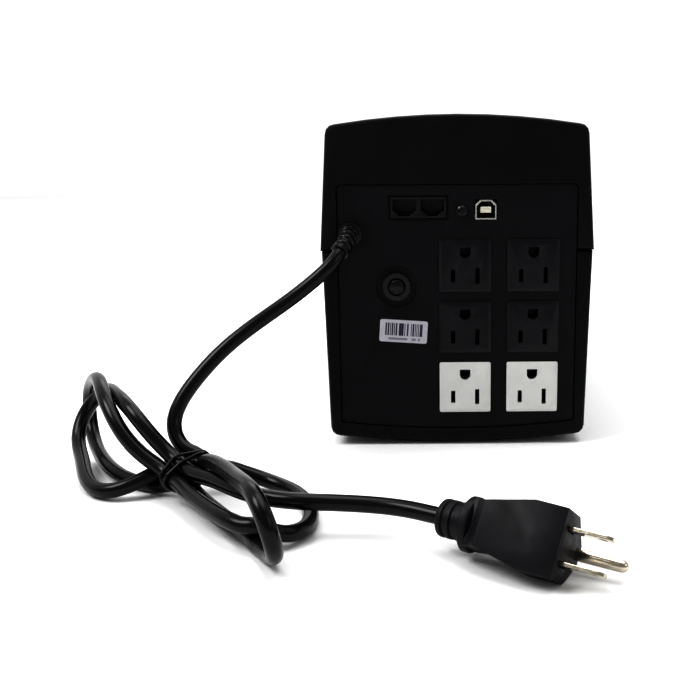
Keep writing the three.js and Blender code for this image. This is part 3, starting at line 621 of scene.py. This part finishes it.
def round_bundle(line, along, angle, grow):
    """Where a wire drawn tight round the bundle passes, on the side that faces the angle."""
    way = (math.cos(angle), math.sin(angle))
    hits = plane_hits(line, along)
    best = max(hits, key=lambda h: h[0] * way[0] + h[1] * way[1])
    across, z = (best[k] + (CORD_R + grow) * way[k] for k in (0, 1))
    side = Vector((math.cos(TIE_TURN), math.sin(TIE_TURN), 0))
    ahead = Vector((-math.sin(TIE_TURN), math.cos(TIE_TURN), 0))
    at = Vector((TIE_AT.x, TIE_AT.y, 0)) + side * across + ahead * along
    return Vector((at.x, at.y, z))


def make_tie(line):
    """A plastic-covered wire: two turns round the bundle, apart at the top and crossing low down."""
    turns, per_turn = 2, 26
    start, widest = math.radians(70), math.radians(60)
    near, spread = 0.0009, 0.0022       # the turns' half distance low down, and what it gains at the top
    close, stand_off = 1.15, 1.6        # in wire radii: off the bundle, and more where the turns cross
    path = []
    for i in range(turns * per_turn + 1):
        turn = i / per_turn
        angle = start + 2 * math.pi * turn
        apart = 0.5 + 0.5 * math.cos(angle - widest)
        along = (-1, 1)[turn > 1] * (near + spread * apart)
        blend = min(1, abs(turn - 1) * 6)
        path.append(round_bundle(line, along * blend, angle, TIE_WIRE * (close + stand_off * (1 - blend))))
    path = even(np.array(path), 2 * TIE_WIRE)
    tie = curve_object("wire_tie", path, TIE_WIRE, bevel=3)
    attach(dress(tie, "gloss_black"), "case")
    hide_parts("twist_tie")
    return tie


def plug_place(obj):
    """Moves a mesh from the plug's own frame to where the plug lies."""
    obj.data.transform(Matrix.Translation(PLUG_AT) @ PLUG_TURN.to_matrix().to_4x4())
    return obj


def prism(name, outline, low, high, place):
    """A closed prism: place(u, v, w) turns outline points (u, v) and heights w into positions."""
    n = len(outline)
    verts = [place(u * MM, v * MM, w) for w in (low, high) for u, v in outline]
    faces = [tuple(range(n))[::-1], tuple(range(n, 2 * n))]
    faces += [(k, (k + 1) % n, n + (k + 1) % n, n + k) for k in range(n)]
    obj = mesh_object(name, verts, faces)
    mesh = bmesh.new()
    mesh.from_mesh(obj.data)
    bmesh.ops.recalc_face_normals(mesh, faces=mesh.faces)
    mesh.to_mesh(obj.data)
    mesh.free()
    return obj


def boolean(obj, tool, operation):
    """The object cut by, or kept to, a tool, which is used up."""
    cut = obj.modifiers.new("cut", "BOOLEAN")
    cut.operation = operation
    cut.solver = "EXACT"
    cut.object = tool
    applied(obj)
    bpy.data.objects.remove(tool)
    return obj


def make_plug_body():
    """The moulded plug's body: flared from above, house-shaped in section, narrow at its collar."""
    flare = [(0, 12.6), (-13, 12.9), (-33, 8.6), (-38, 9.2), (-38, -9.2), (-33, -8.6), (-13, -12.9),
             (0, -12.6)]
    house = [(-7.6, -14), (4.3, -14), (15, -3.6), (15, 3.6), (4.3, 14), (-7.6, 14)]
    side = [(1, -7.6), (-32.5, -7.6), (-36.2, -4.6), (-38, -4.6), (-38, 11.2), (-34, 11.4), (-14, 15),
            (1, 15)]
    body = prism("plug_moulding", flare, -0.009, 0.017, lambda u, v, w: (u, w, v))
    body = boolean(body, prism("section", house, -0.04, 0.001, lambda u, v, w: (w, u, v)), "INTERSECT")
    body = boolean(body, prism("taper", side, -0.02, 0.02, lambda u, v, w: (u, v, w)), "INTERSECT")
    bevelled(body, 0.0009, 3, 12)
    slot_half, slot_reach = 1.1, 3.5
    for z in (-PIN_SPACING / 2, PIN_SPACING / 2):
        low, high = z / MM - slot_half, z / MM + slot_half
        outline = [(-slot_reach, low), (slot_reach, low), (slot_reach, high), (-slot_reach, high)]
        tool = prism("slot", outline, -0.009, 0.002, lambda u, v, w: (w, u, v))
        body = boolean(body, tool, "DIFFERENCE")
    for polygon in body.data.polygons:
        polygon.use_smooth = True
    body.data.set_sharp_from_angle(angle=math.radians(32))
    return dress(plug_place(body), "plug")


def lathe_x(name, profile, y, sides=40):
    """A turned body about a line along the plug, given as (x, radius) pairs in millimetres."""
    verts, faces = [], []
    for x, r in profile:
        for k in range(sides):
            a = 2 * math.pi * k / sides
            verts.append((x * MM, y + r * MM * math.cos(a), r * MM * math.sin(a)))
    for i in range(len(profile) - 1):
        for k in range(sides):
            j = (k + 1) % sides
            faces.append((i * sides + k, (i + 1) * sides + k, (i + 1) * sides + j, i * sides + j))
    faces.append(tuple(range(sides)))
    last = (len(profile) - 1) * sides
    faces.append(tuple(range(last, last + sides))[::-1])
    return mesh_object(name, verts, faces, 40)


def make_plug():
    """The plug: its body, the collar and grooved boot round the cord, two blades and the round pin."""
    body = make_plug_body()
    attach(body, "case")
    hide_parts("plug_body")
    boot = lathe_x("plug_boot", [
        (-52, 3.3), (-52.8, 4.6), (-53, 5.6), (-52.8, 6.7), (-52.2, 7.3), (-51.4, 7.5), (-50.6, 7.5),
        (-50.3, 7.2), (-50.1, 6.7), (-49.3, 6.7), (-49.1, 7.2), (-48.8, 7.5), (-46.9, 7.5), (-46.6, 7.2),
        (-46.4, 6.7), (-45.3, 6.7), (-45.1, 7.2), (-44.8, 7.5), (-42, 7.6), (-41.6, 8.2), (-41.5, 9.4),
        (-41.3, 10.2), (-40.8, 10.7), (-38.6, 10.7), (-38, 10.5), (-37.6, 10), (-37.4, 9), (-36.4, 7.6),
        (-34, 7)], PLUG_MIDDLE)
    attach(dress(plug_place(boot), "plug"), "case")
    blades = []
    for name in ("line", "neutral"):
        blade = rounded_copy(f"plug_blade_{name}", f"blade_{name}", 0.00025)
        dress(blade, "nickel")
        blades.append(blade)
    pin = lathe_x("ground_pin", [
        (-8, 2.4), (0, 2.4), (17, 2.4), (17.8, 2.33), (18.5, 2.15), (19.1, 1.8), (19.6, 1.3), (19.9, 0.7),
        (20, 0.15)], GROUND_OFFSET, 36)
    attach(dress(plug_place(pin), "nickel"), "case")
    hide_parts("plug_ground_pin")
    return [body, boot, pin, *blades]


def slope_rim(data):
    """Widens the sloping rim round a socket's face."""
    xs = [v.co.x for v in data.vertices]
    zs = [v.co.z for v in data.vertices]
    middle = ((min(xs) + max(xs)) / 2, (min(zs) + max(zs)) / 2)
    half, face = (max(xs) - min(xs)) / 2, min(v.co.y for v in data.vertices)
    for v in data.vertices:
        if v.co.y < face + 0.1 * MM:
            for axis, centre in ((0, middle[0]), (2, middle[1])):
                off = v.co[axis] - centre
                if abs(off) > half - SOCKET_EDGE:
                    v.co[axis] = centre + math.copysign(abs(off) - SOCKET_RIM, off)


def make_case_pieces():
    """Softened copies of the rigid CAD pieces that show; the hidden ones keep their own meshes."""
    widths = {
        "top_cover": 0.0006, "base_shell": 0.0006, "front_bezel": 0.0008, "rear_panel": 0.0003,
        "network_jack": 0.00015, "usb_shell": 0.0001, "usb_tongue": 0.0003, "serial_label": 0.00005,
        "panel_screw": 0.00015, "breaker_nut": 0.0002, "breaker_body": 0.0002, "indicator_lens": 0.0004,
    }
    for node in NODES:
        if node.startswith("socket_"):
            widths[node] = 0.00025
        if node.startswith(("foot_", "case_screw_")):
            widths[node] = 0.0003
        if node in ("breaker_button", "power_button"):
            widths[node] = 0.00025
    slots = {s["node"]: s["material_slot"] for s in frame["record"]["subparts"]}
    for node, width in sorted(widths.items()):
        before = slope_rim if node.startswith("socket_") else None
        skin = rounded_copy(node, f"{node}_skin", width, before)
        dress(skin, slots[node])
        if node == "usb_shell":
            skin.data.materials[0] = shell_material()
    for node, obj in NODES.items():
        obj.data.materials.clear()
        obj.data.materials.append(MATERIALS[slots[node]])


# ---------------------------------------------------------------- studio

def make_floor():
    """A plain pale sheet."""
    bpy.ops.mesh.primitive_plane_add(size=8)
    floor = bpy.context.object
    floor.name = "floor"
    s = Shader("floor_paper", specular=0.2)
    s.colour(s.mix(s.spread(s.noise(0.5), 0, 1), (0.86, 0.86, 0.86), (0.88, 0.88, 0.88)))
    s.roughness(s.spread(s.noise(0.1), 0.75, 0.85))
    floor.data.materials.append(s.material)


def make_world():
    """White all round, and dimmer behind the camera, so that black plastic stays black."""
    world = bpy.data.worlds.new("studio")
    bpy.context.scene.world = world
    world.use_nodes = True
    tree = world.node_tree
    place = tree.nodes.new("ShaderNodeTexCoord")
    split = tree.nodes.new("ShaderNodeSeparateXYZ")
    ramp = tree.nodes.new("ShaderNodeMapRange")
    ramp.interpolation_type = "SMOOTHSTEP"
    for key, value in (("From Min", -0.5), ("From Max", 0.35), ("To Min", 0.42), ("To Max", 1.1)):
        ramp.inputs[key].default_value = value
    tree.links.new(place.outputs["Generated"], split.inputs[0])
    tree.links.new(split.outputs["Y"], ramp.inputs["Value"])
    tree.links.new(ramp.outputs["Result"], tree.nodes["Background"].inputs["Strength"])
    tree.nodes["Background"].inputs["Color"].default_value = (1, 1, 1, 1)


def make_lights():
    """A soft key from the left, a wide top light, a weak fill, and one for the far floor."""
    middle = (-0.03, -0.2, 0.06)
    lights = [("key", (-0.85, -0.5, 1.1), 0.7, 15, middle), ("top", (0.15, 0.0, 1.6), 1.4, 18, middle),
              ("fill", (1.0, -0.9, 0.7), 0.6, 2, middle), ("far_floor", (0, 3.2, 2.2), 3, 45, (0, 3, 0))]
    for name, place, size, power, aim in lights:
        data = bpy.data.lights.new(name, "AREA")
        data.shape = "DISK"
        data.size = size
        data.energy = power
        light = bpy.data.objects.new(name, data)
        bpy.context.scene.collection.objects.link(light)
        light.location = place
        light.rotation_euler = (Vector(aim) - light.location).to_track_quat("-Z", "Y").to_euler()


def set_contrast():
    """A plain display curve, steeper than usual, like a studio picture with deep blacks."""
    view = bpy.context.scene.view_settings
    view.view_transform = "Standard"
    view.gamma = 0.68


make_camera()
cord, cord_line = make_cord()
make_relief()
tie = make_tie(cord_line)
plug = make_plug()
make_case_pieces()
make_floor()
make_world()
make_lights()
set_contrast()
